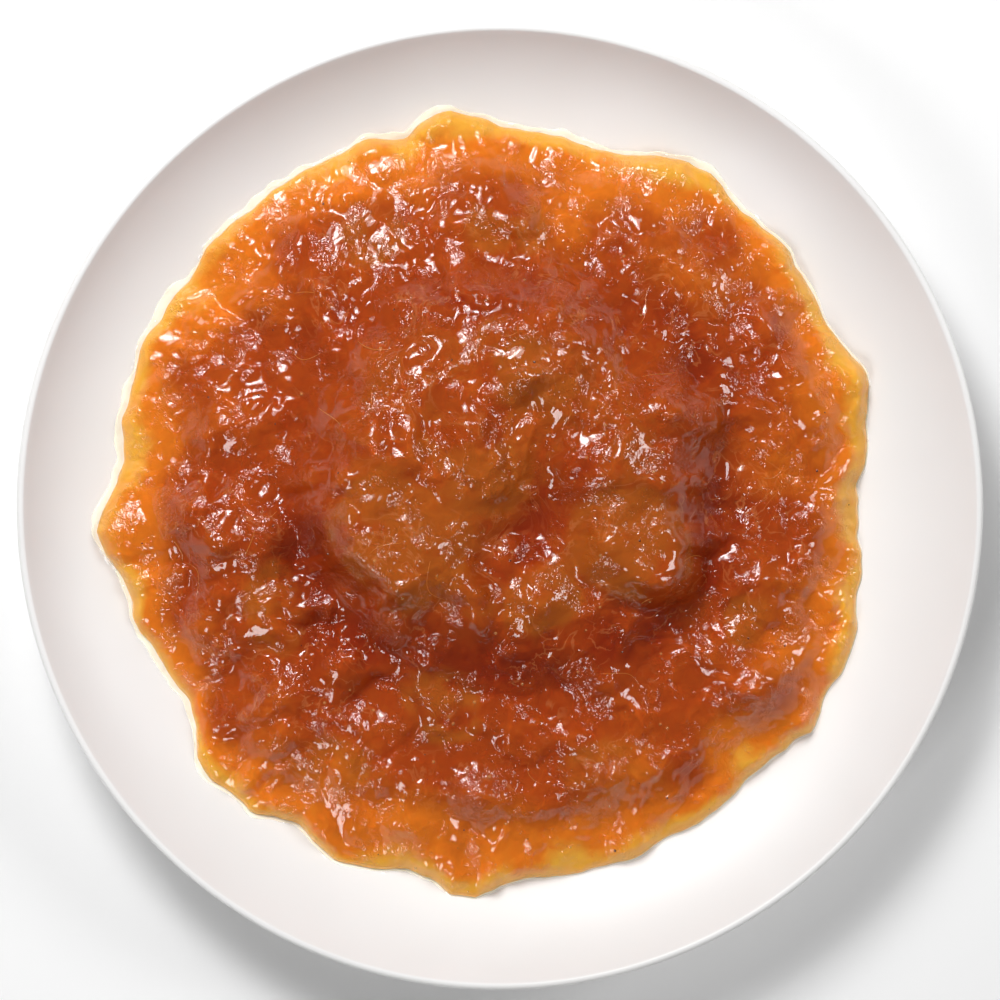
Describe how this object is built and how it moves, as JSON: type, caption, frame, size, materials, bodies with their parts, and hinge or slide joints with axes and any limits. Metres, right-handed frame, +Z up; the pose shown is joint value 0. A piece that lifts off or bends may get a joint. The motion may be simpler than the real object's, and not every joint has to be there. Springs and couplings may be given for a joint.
{
  "type": "plate of orange marmalade",
  "caption": "Glossy orange fruit marmalade heaped on a round white coupe plate, with soft pieces of cooked fruit set into the heap.",
  "frame": {"origin": "on the surface the plate stands on, under the plate's centre", "axes": "+Z up out of the plate; +Y towards the top edge of the picture, +X towards its right edge"},
  "size_m": [0.1798, 0.1798, 0.0323],
  "materials": {
    "white_glaze": "smooth clear glaze",
    "orange_marmalade": "wet, glossy and translucent",
    "amber_fruit": "wet, glossy and translucent"
  },
  "bodies": {
    "root": {"plate": "white_glaze", "marmalade": "orange_marmalade", "fruit_right_slab": "amber_fruit", "fruit_left_slab": "amber_fruit", "fruit_middle": "amber_fruit", "fruit_front_small": "amber_fruit", "fruit_upper": "amber_fruit", "fruit_teardrop": "amber_fruit", "fruit_left_oval": "amber_fruit", "fruit_front_left": "amber_fruit", "fruit_front_right": "amber_fruit", "fruit_back_left": "amber_fruit", "fruit_back": "amber_fruit", "fruit_right_small": "amber_fruit"}
  },
  "joints": []
}
